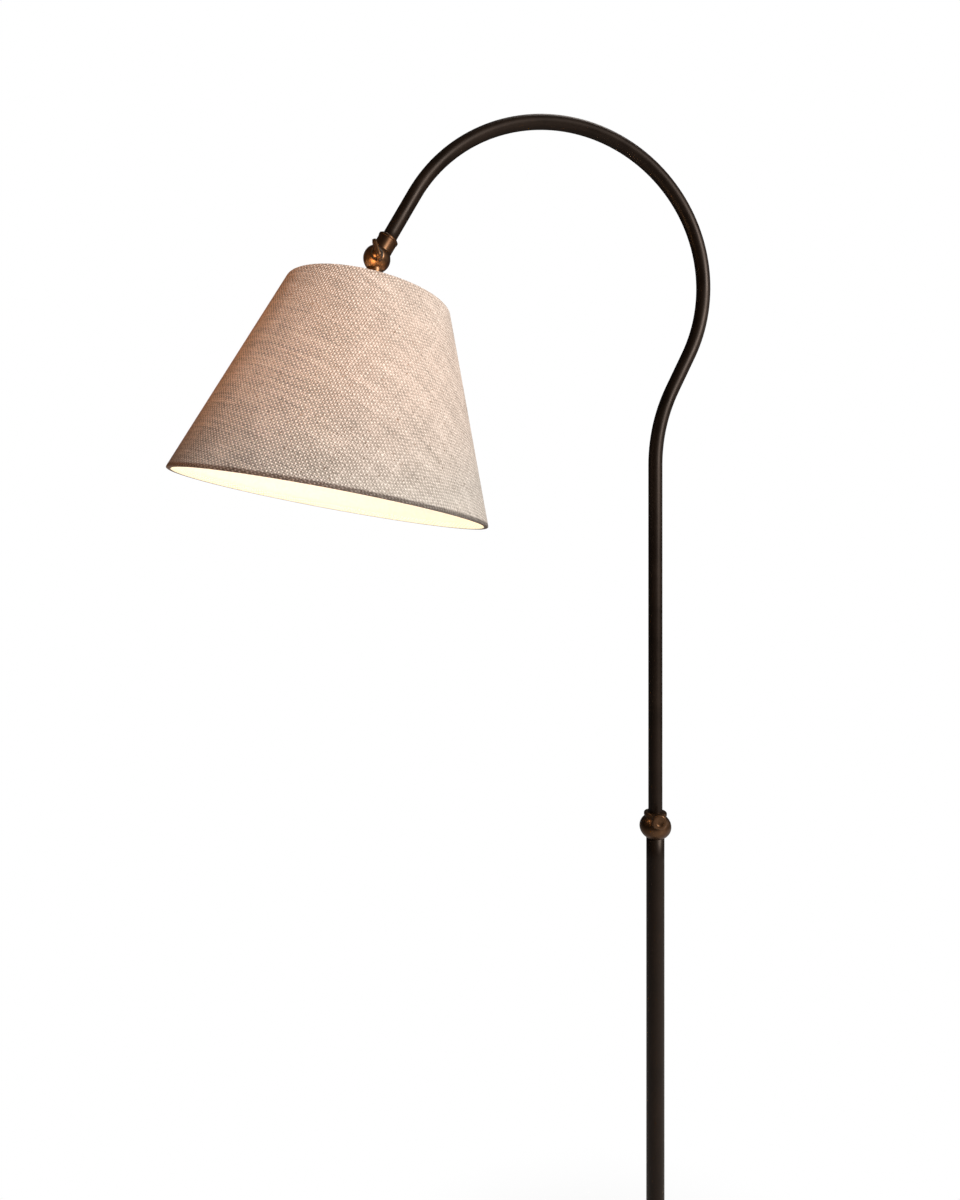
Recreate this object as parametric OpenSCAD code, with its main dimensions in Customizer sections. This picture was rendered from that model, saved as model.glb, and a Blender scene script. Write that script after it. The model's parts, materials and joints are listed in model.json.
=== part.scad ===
// Bridge floor lamp: weighted round base, telescopic stem with a ball collar,
// a crook arm, and a tilting linen shade hung from a ball swivel.
// Z is the stem's axis, the origin is on the floor below it, and the arm lies
// in the XZ plane with the shade on the -X side. Sizes are in millimetres.

/* [Base] */
// Outside diameter of the spun base cover
base_d = 254; // [230:1:300]
// Sheet thickness of the base cover
cover_t = 1.2; // [0.8:0.1:1.5]
// Height of the cover's flat crown above the floor
crown_z = 38; // [34:1:46]
// Diameter of the cover's flat crown
crown_d = 48; // [44:1:60]
// Height of the ledge outside the cover's ogee
ledge_z = 20; // [19:0.5:24]
// Radius of the cover's rolled shoulder
shoulder_r = 8; // [4:0.5:9]
// Radius of the bead at the foot of the ogee
bead_r = 2.5; // [1.5:0.25:3]
// Width of the flat ledge outside the bead
ledge_w = 11; // [6:1:16]
// Thickness of the felt pad
felt_t = 2.5; // [1.5:0.5:4]
// How far the cover's edge stays above the floor
cover_lift = 1.2; // [0.6:0.1:1.4]
// Diameter of the recess for the nut under the weight
recess_d = 40; // [34:1:46]
// Depth of that recess in the weight
recess_h = 13; // [12:0.5:14]
// Width of the cord groove under the weight
groove_w = 11; // [10.5:0.5:16]

/* [Stem] */
// Height of the collar ball's centre above the floor
collar_z = 700; // [600:5:820]
// Outside diameter of the lower tube
lower_d = 18; // [17.6:0.1:19]
// Wall of the lower tube
lower_wall = 1.2; // [0.8:0.1:1.3]
// Outside diameter of the sliding arm tube
arm_d = 14; // [12.5:0.1:14.2]
// Wall of the arm tube
arm_wall = 1.2; // [0.8:0.1:1.6]
// Length of arm tube below the collar ball's centre
arm_reach = 210; // [180:5:300]
// Length of the guide bush at the arm tube's foot
bush_len = 30; // [15:1:50]
// Width of each ring that keeps the guide bush on the tube
keeper_w = 4; // [2:0.5:6]

/* [Collar] */
// Diameter of the collar ball
ball_d = 31.5; // [30.5:0.5:36]
// Height that the flattened ball would have without its boss and its tube
ball_h = 26.8; // [26:0.2:32]
// Diameter of the ring boss on top of the ball
boss_d = 22.7; // [21:0.1:24.5]
// Height of the boss's top above the ball's centre
boss_top = 14.7; // [14.3:0.1:20]
// Height of the small cove between the ball and the boss
cove_h = 1; // [0.5:0.1:1.5]
// Height above the ball's centre to which the lower tube reaches
tube_seat = 1; // [0:0.5:3]
// Height of the clamp screw above the ball's centre
clamp_rise = 10.5; // [9.5:0.1:11.5]
// Turn of the clamp screw about the stem, away from straight ahead
clamp_turn = -9; // [-30:1:30]
// Diameter of the clamp screw's round head
knob_d = 15; // [12:0.5:17]
// Thickness of that head
knob_t = 4.2; // [3:0.2:6]
// Radius of the dish in the head's face
dish_r = 3; // [2:0.5:4]

/* [Arm] */
// Height above the collar ball's centre where the first bend starts
bend_rise = 365; // [350:1:420]
// Centreline radius of the first bend, away from the shade
sway_r = 175; // [120:1:220]
// Angle of the first bend
sway_a = 26.1; // [15:0.1:32]
// Straight run between the two bends
lean_len = 39; // [20:1:60]
// Centreline radius of the crook
crook_r = 157; // [145:1:185]
// Angle of the crook
crook_a = 176.8; // [165:0.1:182]
// Straight run from the crook's end to the swivel's centre
drop_len = 74; // [60:1:100]

/* [Swivel] */
// Diameter of the swivel ball
swivel_d = 26; // [25:0.5:32]
// Outside diameter of the ferrule on the arm tube
ferrule_d = 19; // [17.5:0.5:22]
// Distance of the ferrule's rim from the swivel's centre
ferrule_end = 24; // [21:0.5:30]
// Distance of the arm tube's end from the swivel's centre
tube_stop = 15; // [14:0.5:17]
// Outside diameter of the lamp side's stub
stub_d = 16; // [14:0.5:18]
// Distance of the stub's end from the swivel's centre
stub_end = 20; // [18.5:0.5:24]
// Thickness of the friction ring between the halves
friction_t = 1.2; // [0.8:0.1:2]
// Inner radius of the wire channel round the screw
channel_in = 4.4; // [3.8:0.1:5]
// Outer radius of the wire channel
channel_out = 8.4; // [7.5:0.1:9]
// Depth of the wire channel in each half
channel_h = 5; // [3:0.5:6]
// Diameter of the flat under the washer
spot_d = 12.6; // [11.5:0.1:14]
// Width of the thumb wing across the screw
wing_w = 19.5; // [15:0.5:24]
// Length of the thumb wing along the screw
wing_len = 13; // [9:0.5:16]
// Thickness of the thumb wing
wing_t = 3.5; // [2.5:0.1:4.5]
// Lean of the thumb wing at rest
wing_lean = 17; // [0:1:90]

/* [Screws] */
// Diameter of both clamp screws
screw_d = 5; // [4:0.5:5.5]
// Length of screw thread behind the wing's shoulder
screw_len = 22; // [20:0.5:22.5]
// Diameter of the threaded lamp tubes
nipple_d = 10; // [9:0.5:11]
// Bore of the threaded lamp tubes
nipple_bore = 7; // [5:0.5:7.5]
// Distance across the flats of the lamp tubes' nuts
nut_af = 17; // [15:0.5:19]
// Thickness of the lamp tubes' nuts
nut_t = 3; // [2:0.5:4]

/* [Shade] */
// Tilt of the shade's axis from upright
shade_tilt = 10; // [0:0.1:30]
// Distance of the shade's top rim below the swivel's centre
rim_s = 40.5; // [38:0.5:46]
// Height of the shade along its axis
shade_h = 195.5; // [160:0.5:230]
// Outside diameter at the top rim
shade_top_d = 157; // [130:1:200]
// Outside diameter at the bottom rim
shade_bottom_d = 300; // [260:1:340]
// Thickness of the linen
linen_t = 0.8; // [0.4:0.1:1.2]
// Thickness of the stiff liner
liner_t = 0.5; // [0.3:0.1:1]
// Wire diameter of the two rim rings
ring_d = 3; // [2:0.5:4]
// Wire diameter of the carrier's spokes
spoke_d = 2.6; // [2:0.2:4]
// Number of spokes
spokes = 3; // [3:1:5]
// Height of the linen that is turned in over the ring at both rims
turn_in = 4; // [3:0.5:8]

/* [Lampholder] */
// Outside diameter of the lampholder's sleeve
holder_d = 38; // [36:0.5:42]
// Wall of the sleeve and of its cap
holder_wall = 1; // [0.6:0.1:1.5]
// Distance of the sleeve's top from the swivel's centre
sleeve_top = 40; // [38:0.5:42]
// Distance of the sleeve's mouth from the swivel's centre
sleeve_end = 86; // [85:0.5:90]
// Distance of the seat for the shade carrier from the swivel's centre
carrier_s = 51.6; // [50:0.1:55]
// Diameter of the seat and of the carrier's ring
carrier_d = 52; // [48:0.5:58]
// Thickness of the carrier's ring
carrier_t = 2; // [1.5:0.1:3]
// Height of the ring nut that holds the carrier
ring_nut_h = 7.5; // [5:0.5:9]
// Distance of the switch shaft from the swivel's centre
switch_s = 70; // [68:0.5:73]
// Diameter of the switch knob
switch_d = 12; // [9:0.5:14]
// Length of the switch knob
switch_len = 11; // [8:0.5:14]
// Bore of the screw socket for the bulb
socket_d = 27.4; // [27:0.1:28]

/* [Bulb] */
// Diameter of the bulb's screw cap
cap_d = 26.4; // [26:0.1:26.6]
// Length of the bulb's screw cap
cap_len = 23; // [20:0.5:25]
// Greatest diameter of the bulb's glass
bulb_d = 60; // [50:1:70]
// Length of the glass beyond the cap
bulb_len = 78; // [70:1:90]

/* [Cord inlet] */
// Bore of the cord bush
inlet_bore = 7.2; // [6:0.2:8]
// Diameter of the bush's barrel
inlet_d = 10; // [9.5:0.1:10.4]
// Diameter of the bush's flange
inlet_flange_d = 13; // [11:0.5:13]
// Length of the bush's barrel behind the cover
inlet_len = 5; // [3:0.5:8]
// Height of the inlet above the floor
inlet_z = 8.2; // [8:0.1:8.8]

/* [Fits] */
// Radial clearance of running and sliding fits
run_fit = 0.06; // [0.02:0.01:0.1]
// Radial clearance of screwed and pushed joints that stay put
joint_fit = 0.05; // [0.02:0.01:0.1]
// Gap between faces that move past each other
face_gap = 0.3; // [0.2:0.05:0.5]
// Gap between faces that are pressed together
seat_gap = 0.05; // [0.02:0.01:0.1]

/* [Hidden] */
$fn = 96;
curve_steps = 14;

lower_id = lower_d - 2 * lower_wall;
arm_id = arm_d - 2 * arm_wall;
arm_foot_z = collar_z - arm_reach;
bend_swell = 0.02;
bend_lap = 0.5;
bend_z = collar_z + bend_rise;

// Arm centreline in the XZ plane: first bend, lean, crook, drop.
sway_end = [sway_r * (1 - cos(sway_a)), bend_z + sway_r * sin(sway_a)];
lean_end = sway_end + lean_len * [sin(sway_a), cos(sway_a)];
crook_c = lean_end + crook_r * [-cos(sway_a), sin(sway_a)];
crook_end = crook_c + crook_r * [cos(crook_a - sway_a), sin(crook_a - sway_a)];
drop_a = sway_a - crook_a;
swivel_at = crook_end + drop_len * [sin(drop_a), cos(drop_a)];

swivel_r = swivel_d / 2;
half_gap = friction_t / 2 + seat_gap;
spot_y = sqrt(swivel_r * swivel_r - spot_d * spot_d / 4);
washer_t = 1;
shoulder_t = 2;
shoulder_d = 9;
screw_hole = screw_d / 2 + run_fit;

skirt_r = base_d / 2;
ogee_r = skirt_r - shoulder_r - ledge_w - 2 * bead_r;
weight_r = skirt_r - cover_t - 0.4;
felt_r = weight_r - 3;
weight_top = ledge_z - cover_t - seat_gap;
recess_top = felt_t + recess_h;
foot_h = 22;
foot_floor = 6;
foot_seat_z = crown_z + foot_floor;
plug_h = 16;
base_washer_t = 2;
nipple_tail = 1.5;

shade_slope = (shade_bottom_d - shade_top_d) / 2 / shade_h;
lean_k = sqrt(1 + shade_slope * shade_slope);
hem_s = rim_s + shade_h;
ring_lap = 0.1;
liner_gap = 0.02;

cap_top = stub_end + nut_t + seat_gap;
sleeve_r = holder_d / 2;
cap_lap = 6;
insulator_top = sleeve_top + 7;
socket_r = socket_d / 2;
socket_wall = 0.4;
socket_floor = insulator_top + 11;
bulb_cap_s = socket_floor + 2.4;
glass_s = bulb_cap_s + cap_len;

knob_seat = ball_d / 2 + 1;
pad_len = 2;

bronze = "#2b2420";
brass = "#6b5636";
steel = "#9c9c98";
cream = "#efe6cf";

// A half-cosine rise from 0 to 1.
function ease(u) = (1 - cos(180 * u)) / 2;

// Points of an arc in the plane, from angle a to angle b.
function arc(c, r, a, b, n = curve_steps) =
    [for (i = [0:n]) c + r * [cos(a + (b - a) * i / n), sin(a + (b - a) * i / n)]];

// Outside radius of the shade at a distance s below the swivel's centre.
function shade_r(s) = shade_top_d / 2 + (s - rim_s) * shade_slope;

// Height of the cover's ogee at radius r, and the drop that leaves its sheet thickness.
function ogee_u(r) = (ogee_r - r) / (ogee_r - crown_d / 2);
function ogee_z(r) = ledge_z + (crown_z - ledge_z) * ease(ogee_u(r));
function ogee_slope(r) =
    (crown_z - ledge_z) * PI / 2 * sin(180 * ogee_u(r)) / (ogee_r - crown_d / 2);
function ogee_under(r) = ogee_z(r) - cover_t * sqrt(1 + pow(ogee_slope(r), 2));

module ring(r_out, r_in, h) {
    difference() {
        cylinder(r = r_out, h = h);
        translate([0, 0, -1]) cylinder(r = r_in, h = h + 2);
    }
}

module hex_nut(af, bore_r, h) {
    difference() {
        cylinder(r = af / 2 / cos(30), h = h, $fn = 6);
        translate([0, 0, -1]) cylinder(r = bore_r, h = h + 2);
    }
}

// Frames: the lamp side (its Z points up the shade's axis), the arm tube's end
// (Z points up the tube), the swivel's screw and the collar's screw (Z points out).
module in_lamp() {
    translate([swivel_at.x, 0, swivel_at.y]) rotate([0, shade_tilt, 0]) children();
}
module on_arm_end() {
    translate([swivel_at.x, 0, swivel_at.y]) rotate([0, 180 + drop_a, 0]) children();
}
module on_swivel_screw() {
    translate([swivel_at.x, 0, swivel_at.y]) rotate([90, 0, 0]) children();
}
module on_collar_screw() {
    translate([0, 0, collar_z + clamp_rise]) rotate([0, 0, clamp_turn])
        rotate([90, 0, 0]) children();
}

// ---- base ----

module base_felt() {
    color("#3a4a3c") cylinder(r = felt_r, h = felt_t);
}

module base_weight() {
    color("#3b3b3d") difference() {
        union() {
            rotate_extrude() polygon([
                [0, felt_t], [weight_r - 1, felt_t], [weight_r, felt_t + 1],
                [weight_r, ledge_z - shoulder_r - 1],
                [weight_r - shoulder_r, weight_top], [0, weight_top]
            ]);
            translate([0, 0, recess_top])
                cylinder(r1 = crown_d / 2 + 4, r2 = crown_d / 2 - 2,
                    h = crown_z - cover_t - seat_gap - recess_top);
        }
        translate([0, 0, -1]) cylinder(r = recess_d / 2, h = recess_top + 1);
        cylinder(r = nipple_d / 2 + 0.2, h = crown_z + 1);
        translate([0, -groove_w / 2, -1])
            cube([base_d, groove_w, inlet_z + inlet_d / 2 + 1.5]);
    }
}

module base_cover() {
    top = concat(
        [[skirt_r, cover_lift]],
        arc([skirt_r - shoulder_r, ledge_z - shoulder_r], shoulder_r, 0, 90),
        arc([ogee_r + bead_r, ledge_z], bead_r, 0, 180),
        [for (i = [1:2 * curve_steps]) let (r = ogee_r - (ogee_r - crown_d / 2) * i / (2 * curve_steps))
            [r, ogee_z(r)]],
        [[nipple_d / 2 + 0.2, crown_z]]
    );
    under = concat(
        [[nipple_d / 2 + 0.2, crown_z - cover_t]],
        [for (i = [2 * curve_steps:-1:0]) let (r = ogee_r - (ogee_r - crown_d / 2) * i / (2 * curve_steps))
            [r, ogee_under(r)]],
        arc([skirt_r - shoulder_r, ledge_z - shoulder_r], shoulder_r - cover_t, 90, 0),
        [[skirt_r - cover_t, cover_lift]]
    );
    color(bronze) difference() {
        rotate_extrude() polygon(concat(top, under));
        translate([skirt_r - 2 * shoulder_r, 0, inlet_z]) rotate([0, 90, 0])
            cylinder(r = inlet_d / 2 + joint_fit, h = 3 * shoulder_r);
    }
}

nipple_low = recess_top - base_washer_t - nut_t - nipple_tail;

module base_nipple() {
    color(steel) translate([0, 0, nipple_low])
        ring(nipple_d / 2, nipple_bore / 2, foot_seat_z + plug_h - nipple_low);
}

module base_washer() {
    color(steel) translate([0, 0, recess_top - base_washer_t])
        ring(recess_d / 2 - 4, nipple_d / 2 + 0.2, base_washer_t);
}

module base_nut() {
    color(brass) translate([0, 0, recess_top - base_washer_t - nut_t])
        hex_nut(nut_af, nipple_d / 2 + joint_fit, nut_t);
}

module cord_bush() {
    flange_t = 2;
    color("#151515") translate([skirt_r, 0, inlet_z]) rotate([0, 90, 0]) difference() {
        rotate_extrude() polygon([
            [0, -cover_t - inlet_len], [inlet_d / 2, -cover_t - inlet_len], [inlet_d / 2, 0],
            [inlet_flange_d / 2, 0], [inlet_flange_d / 2, flange_t - 0.8],
            [inlet_flange_d / 2 - 0.8, flange_t], [0, flange_t]
        ]);
        translate([0, 0, -cover_t - inlet_len - 1])
            cylinder(r = inlet_bore / 2, h = inlet_len + cover_t + flange_t + 2);
    }
}

module foot_ring() {
    neck_r = lower_d / 2 + 3.2;
    flange_r = min(crown_d / 2 - 1, neck_r + 9);
    color(brass) translate([0, 0, crown_z]) difference() {
        rotate_extrude() polygon(concat(
            [[0, 0], [flange_r - 0.8, 0], [flange_r, 0.8], [flange_r, 2.4], [flange_r - 0.6, 3]],
            [for (i = [0:curve_steps]) let (u = i / curve_steps)
                [neck_r + (flange_r - 1.4 - neck_r) * pow(1 - u, 2), 3 + (foot_h - 8) * u]],
            arc([neck_r - 0.4, foot_h - 2.5], 2, -80, 90),
            [[0, foot_h - 0.5]]
        ));
        translate([0, 0, -1]) cylinder(r = nipple_d / 2 + 0.2, h = foot_h);
        translate([0, 0, foot_floor]) cylinder(r = lower_d / 2 + joint_fit, h = foot_h);
    }
}

module tube_plug() {
    color(steel) translate([0, 0, foot_seat_z])
        ring(lower_id / 2 - joint_fit, nipple_d / 2 + joint_fit, plug_h);
}

// ---- stem and collar ----

module lower_tube() {
    color(bronze) translate([0, 0, foot_seat_z])
        ring(lower_d / 2, lower_id / 2, collar_z + tube_seat - foot_seat_z);
}

module collar_ball() {
    ball_r = ball_d / 2;
    boss_r = boss_d / 2;
    lip = 1.4;
    cove_r = boss_r - 0.8;
    squash = ball_h / ball_d;
    cove_z = squash * sqrt(ball_r * ball_r - cove_r * cove_r);
    low_a = -acos((lower_d / 2 + joint_fit) / ball_r);
    color(brass) difference() {
        translate([0, 0, collar_z]) rotate_extrude() polygon(concat(
            [[0, squash * ball_r * sin(low_a)]],
            [for (p = arc([0, 0], ball_r, low_a, acos(cove_r / ball_r), 3 * curve_steps))
                [p.x, squash * p.y]],
            [[cove_r, cove_z + cove_h], [boss_r, cove_z + cove_h + 0.6]],
            arc([boss_r - lip, boss_top - lip], lip, 0, 90),
            [[0, boss_top]]
        ));
        cylinder(r = lower_d / 2 + joint_fit, h = collar_z + tube_seat);
        cylinder(r = arm_d / 2 + run_fit, h = collar_z + boss_top + 1);
        on_collar_screw() cylinder(r = screw_hole, h = ball_d);
    }
}

module collar_pad() {
    color("#e8e4d8") on_collar_screw() translate([0, 0, arm_d / 2 + face_gap])
        cylinder(r = screw_d / 2 - 0.05, h = pad_len);
}

module collar_thumbscrew() {
    flutes = 20;
    flute_r = 0.7;
    neck_d = 6.8;
    tip = arm_d / 2 + face_gap + pad_len + seat_gap;
    color(brass) on_collar_screw() difference() {
        rotate_extrude() polygon(concat(
            [[0, tip], [screw_d / 2 - 0.6, tip], [screw_d / 2, tip + 0.6],
             [screw_d / 2, knob_seat - 2.2], [neck_d / 2, knob_seat - 2.2], [neck_d / 2, knob_seat],
             [knob_d / 2 - 0.6, knob_seat], [knob_d / 2, knob_seat + 0.6]],
            [[knob_d / 2, knob_seat + knob_t - 0.9], [knob_d / 2 - 0.9, knob_seat + knob_t]],
            [[dish_r + 0.8, knob_seat + knob_t]],
            [[dish_r, knob_seat + knob_t - 0.5], [0, knob_seat + knob_t - 0.7]]
        ));
        for (i = [0:flutes - 1]) rotate([0, 0, i * 360 / flutes])
            translate([knob_d / 2 + flute_r * 0.55, 0, knob_seat - 1])
                cylinder(r = flute_r, h = knob_t + 2);
    }
}

module guide_bush() {
    color("#e8e4d8") translate([0, 0, arm_foot_z + keeper_w + face_gap])
        ring(lower_id / 2 - run_fit, arm_d / 2 + run_fit, bush_len);
}

// Two crimped rings that hold the guide bush on the arm tube.
module bush_keepers() {
    color(steel) for (z = [arm_foot_z, arm_foot_z + keeper_w + 2 * face_gap + bush_len])
        translate([0, 0, z]) ring(lower_id / 2 - face_gap, arm_d / 2 + 0.02, keeper_w);
}

// ---- arm ----

// Section of the arm tube, as a flat ring, with its wall `swell` thicker on both faces.
module tube_section(swell = 0) {
    difference() {
        circle(r = arm_d / 2 + swell);
        circle(r = arm_id / 2 - swell);
    }
}

// A straight run of tube up the present Z, then its children at the run's end.
// Its ends reach `before` and `after` into the bends that it meets.
module run(length, before = bend_lap, after = bend_lap) {
    translate([0, 0, -before]) linear_extrude(before + length + after) tube_section();
    translate([0, 0, length]) children();
}

// A bend of the tube by `angle` from the present Z towards +X, or towards -X where
// it is negative, then its children at the bend's end. Its wall is a hair thicker,
// so that the straight runs end inside it.
module bend(bend_r, angle) {
    side = sign(angle);
    mirror([side > 0 ? 1 : 0, 0, 0]) translate([-bend_r, 0, 0]) rotate([90, 0, 0])
        rotate_extrude(angle = abs(angle)) translate([bend_r, 0]) tube_section(bend_swell);
    translate([side * bend_r, 0, 0]) rotate([0, angle, 0]) translate([-side * bend_r, 0, 0])
        children();
}

// The stem, the first bend, the lean, the crook and the drop to the swivel.
module arm_tube() {
    color(bronze) translate([0, 0, arm_foot_z])
        run(bend_z - arm_foot_z, before = 0)
        bend(sway_r, sway_a)
        run(lean_len)
        bend(crook_r, -crook_a)
        run(drop_len - tube_stop, after = 0);
}

// ---- swivel ----

// Everything on one side of the joint face: side 1 is the arm's, side -1 the lamp's.
module swivel_side(side) {
    big = 4 * swivel_d;
    y0 = side > 0 ? half_gap : -big - half_gap;
    translate([swivel_at.x - big / 2, y0, swivel_at.y - big / 2]) cube([big, big, big]);
}

// The annular channel that carries the wires round the screw, in one half.
module wire_channel(side) {
    on_swivel_screw() translate([0, 0, side > 0 ? -half_gap - channel_h : half_gap])
        ring(channel_out, channel_in, channel_h);
}

module swivel_socket() {
    lip_w = 3;
    lip_h = 0.5;
    color(brass) difference() {
        union() {
            intersection() {
                translate([swivel_at.x, 0, swivel_at.y]) sphere(r = swivel_r);
                swivel_side(1);
            }
            difference() {
                on_arm_end() rotate_extrude() polygon([
                    [0, 0], [ferrule_d / 2, 0], [ferrule_d / 2, ferrule_end - lip_w],
                    [ferrule_d / 2 + lip_h, ferrule_end - lip_w + lip_h],
                    [ferrule_d / 2 + lip_h, ferrule_end - 1], [ferrule_d / 2 - 0.6, ferrule_end],
                    [0, ferrule_end]
                ]);
                difference() {
                    translate([swivel_at.x, 0, swivel_at.y]) sphere(r = swivel_r + face_gap);
                    swivel_side(1);
                }
            }
        }
        on_arm_end() translate([0, 0, tube_stop]) cylinder(r = arm_d / 2 + joint_fit, h = ferrule_end);
        on_arm_end() translate([0, 4.2, 5]) cylinder(r = 2.4, h = ferrule_end);
        wire_channel(1);
        on_swivel_screw() translate([0, 0, -swivel_r + 3]) cylinder(r = screw_hole, h = swivel_d);
        on_arm_end() translate([0, 0, ferrule_end - 4.5]) rotate([-90, 0, 0])
            cylinder(r = 1.5 + joint_fit, h = ferrule_d);
    }
}

// The small screw at the back of the ferrule that holds it on the arm tube.
module swivel_arm_screw() {
    color(steel) on_arm_end() translate([0, 0, ferrule_end - 4.5]) rotate([-90, 0, 0])
        translate([0, 0, arm_d / 2 + 0.1]) difference() {
            cylinder(r = 1.5, h = ferrule_d / 2 - arm_d / 2 - 0.3);
            translate([-2, -0.25, 1.4]) cube([4, 0.5, 2]);
        }
}

module swivel_half() {
    color(brass) difference() {
        union() {
            intersection() {
                translate([swivel_at.x, 0, swivel_at.y]) sphere(r = swivel_r);
                swivel_side(-1);
            }
            difference() {
                in_lamp() rotate_extrude() polygon([
                    [0, -stub_end], [stub_d / 2 - 0.8, -stub_end], [stub_d / 2, -stub_end + 0.8],
                    [stub_d / 2, 0], [0, 0]
                ]);
                difference() {
                    translate([swivel_at.x, 0, swivel_at.y]) sphere(r = swivel_r + face_gap);
                    swivel_side(-1);
                }
            }
        }
        in_lamp() translate([0, 0, -stub_end - 1])
            cylinder(r = nipple_d / 2 + joint_fit, h = stub_end - swivel_r + 1.5);
        in_lamp() translate([0, -4.2, -stub_end]) cylinder(r = 2.4, h = stub_end - 5);
        wire_channel(-1);
        on_swivel_screw() translate([0, 0, -1]) cylinder(r = screw_d / 2 + 0.2, h = swivel_d);
        on_swivel_screw() translate([0, 0, spot_y]) cylinder(r = swivel_r, h = swivel_r);
    }
}

module friction_ring() {
    color("#7a2f22") on_swivel_screw() translate([0, 0, -friction_t / 2])
        ring(swivel_r - 0.6, channel_out + 0.2, friction_t);
}

module swivel_washer() {
    color(steel) on_swivel_screw() translate([0, 0, spot_y + seat_gap])
        ring(spot_d / 2 - 0.3, screw_d / 2 + 0.2, washer_t);
}

// Outline of the thumb wing: a plate with round corners.
module wing_outline(round_r) {
    translate([-wing_w / 2 + round_r, 0]) square([wing_w - 2 * round_r, wing_len]);
    translate([-wing_w / 2, round_r]) square([wing_w, wing_len - 2 * round_r]);
    for (x = [-1, 1], z = [round_r, wing_len - round_r])
        translate([x * (wing_w / 2 - round_r), z]) circle(r = round_r);
}

module swivel_thumbscrew() {
    shoulder_z = spot_y + washer_t + 2 * seat_gap;
    waist_r = 2.2;
    color(brass) on_swivel_screw() rotate([0, 0, wing_lean]) union() {
        translate([0, 0, shoulder_z - screw_len]) cylinder(r = screw_d / 2, h = screw_len + 1);
        translate([0, 0, shoulder_z]) cylinder(r = shoulder_d / 2, h = shoulder_t);
        translate([0, 0, shoulder_z + shoulder_t]) difference() {
            translate([wing_t / 2, 0, 0]) rotate([90, 0, -90])
                linear_extrude(wing_t) wing_outline(4.5);
            for (y = [-1, 1])
                translate([-wing_t, y * (wing_w / 2 + 0.2), 0]) rotate([0, 90, 0])
                    cylinder(r = waist_r, h = 2 * wing_t);
        }
    }
}

// ---- lampholder ----

module holder_nipple() {
    color(steel) in_lamp() translate([0, 0, -cap_top - 9])
        ring(nipple_d / 2, nipple_bore / 2, cap_top + 9 - swivel_r - 0.8);
}

module holder_nut() {
    color(brass) in_lamp() translate([0, 0, -stub_end - nut_t])
        hex_nut(nut_af, nipple_d / 2 + joint_fit, nut_t);
}

module holder_cap() {
    neck = 5;
    r_in = sleeve_r + seat_gap;
    r_out = r_in + holder_wall;
    bead = 0.6;
    dome_end = sleeve_top - holder_wall - face_gap;
    bead_s = sleeve_top + cap_lap - 2.5;
    dome = [for (i = [0:curve_steps]) let (a = 90 * i / curve_steps)
        [9 + (r_out - 9) * sin(a), cap_top + neck + (dome_end - cap_top - neck) * (1 - cos(a))]];
    inner = [for (i = [curve_steps:-1:0]) let (a = 90 * i / curve_steps)
        [8 + (r_in - 8) * sin(a), cap_top + neck + holder_wall
            + (dome_end - cap_top - neck) * (1 - cos(a))]];
    side = concat(
        [[nipple_d / 2 + joint_fit, cap_top], [9, cap_top]],
        dome,
        [[r_out, bead_s], [r_out + bead, bead_s + bead]],
        [[r_out + bead, sleeve_top + cap_lap], [r_in, sleeve_top + cap_lap]],
        [[r_in, dome_end + holder_wall]],
        inner,
        [[nipple_d / 2 + joint_fit, cap_top + neck + holder_wall]]
    );
    color(brass) in_lamp() rotate_extrude() polygon([for (p = side) [p.x, -p.y]]);
}

module holder_sleeve() {
    r_in = sleeve_r - holder_wall;
    side = [
        [r_in, sleeve_top], [sleeve_r, sleeve_top], [sleeve_r, carrier_s - seat_gap - 1.6],
        [carrier_d / 2 - 1, carrier_s - seat_gap - 1.6], [carrier_d / 2, carrier_s - seat_gap - 0.8],
        [carrier_d / 2 - 1, carrier_s - seat_gap], [sleeve_r, carrier_s - seat_gap],
        [sleeve_r, sleeve_end - 1], [sleeve_r + 0.6, sleeve_end - 0.6],
        [sleeve_r + 0.6, sleeve_end], [r_in, sleeve_end]
    ];
    color(brass) in_lamp() difference() {
        rotate_extrude() polygon([for (p = side) [p.x, -p.y]]);
        translate([0, 0, -switch_s]) rotate([90, 0, 0])
            cylinder(r = 3.2 + joint_fit, h = holder_d);
    }
}

module holder_insulator() {
    r_out = sleeve_r - holder_wall - seat_gap;
    cavity = socket_r + socket_wall + seat_gap;
    color("#efeae0") in_lamp() difference() {
        translate([0, 0, -sleeve_end + 2]) cylinder(r = r_out, h = sleeve_end - 2 - insulator_top);
        translate([0, 0, -sleeve_end]) cylinder(r = cavity, h = sleeve_end - socket_floor);
        for (x = [-1, 1]) translate([x * 10, 0, -insulator_top - 7])
            cylinder(r = 1.75 + joint_fit, h = 8);
        translate([0, 0, -switch_s]) rotate([90, 0, 0])
            translate([0, 0, cavity + 0.6]) cylinder(r = 3.2 + joint_fit, h = r_out);
    }
}

// The two terminal screws on top of the insulator.
module holder_terminals() {
    color(brass) in_lamp() for (x = [-1, 1]) translate([x * 10, 0, -insulator_top]) difference() {
        union() {
            translate([0, 0, -6.5]) cylinder(r = 1.75, h = 7);
            translate([0, 0, seat_gap]) cylinder(r = 3, h = 2);
        }
        translate([-4, -0.4, 1.2]) cube([8, 0.8, 2]);
    }
}

// The threaded brass shell that the bulb screws into, with its coarse round thread.
module screw_socket() {
    shell_len = sleeve_end - 3 - socket_floor - 1;
    turns = 5;
    wave = 0.25;
    steps = 8 * turns;
    wall = [for (i = [0:steps]) [
        socket_r - wave + wave * cos(360 * turns * i / steps),
        socket_floor + 1 + shell_len * i / steps]];
    outer = [for (i = [steps:-1:0]) [wall[i].x + socket_wall, wall[i].y]];
    color("#a8935c") in_lamp() rotate_extrude()
        polygon([for (p = concat(wall, outer)) [p.x, -p.y]]);
}

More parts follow.
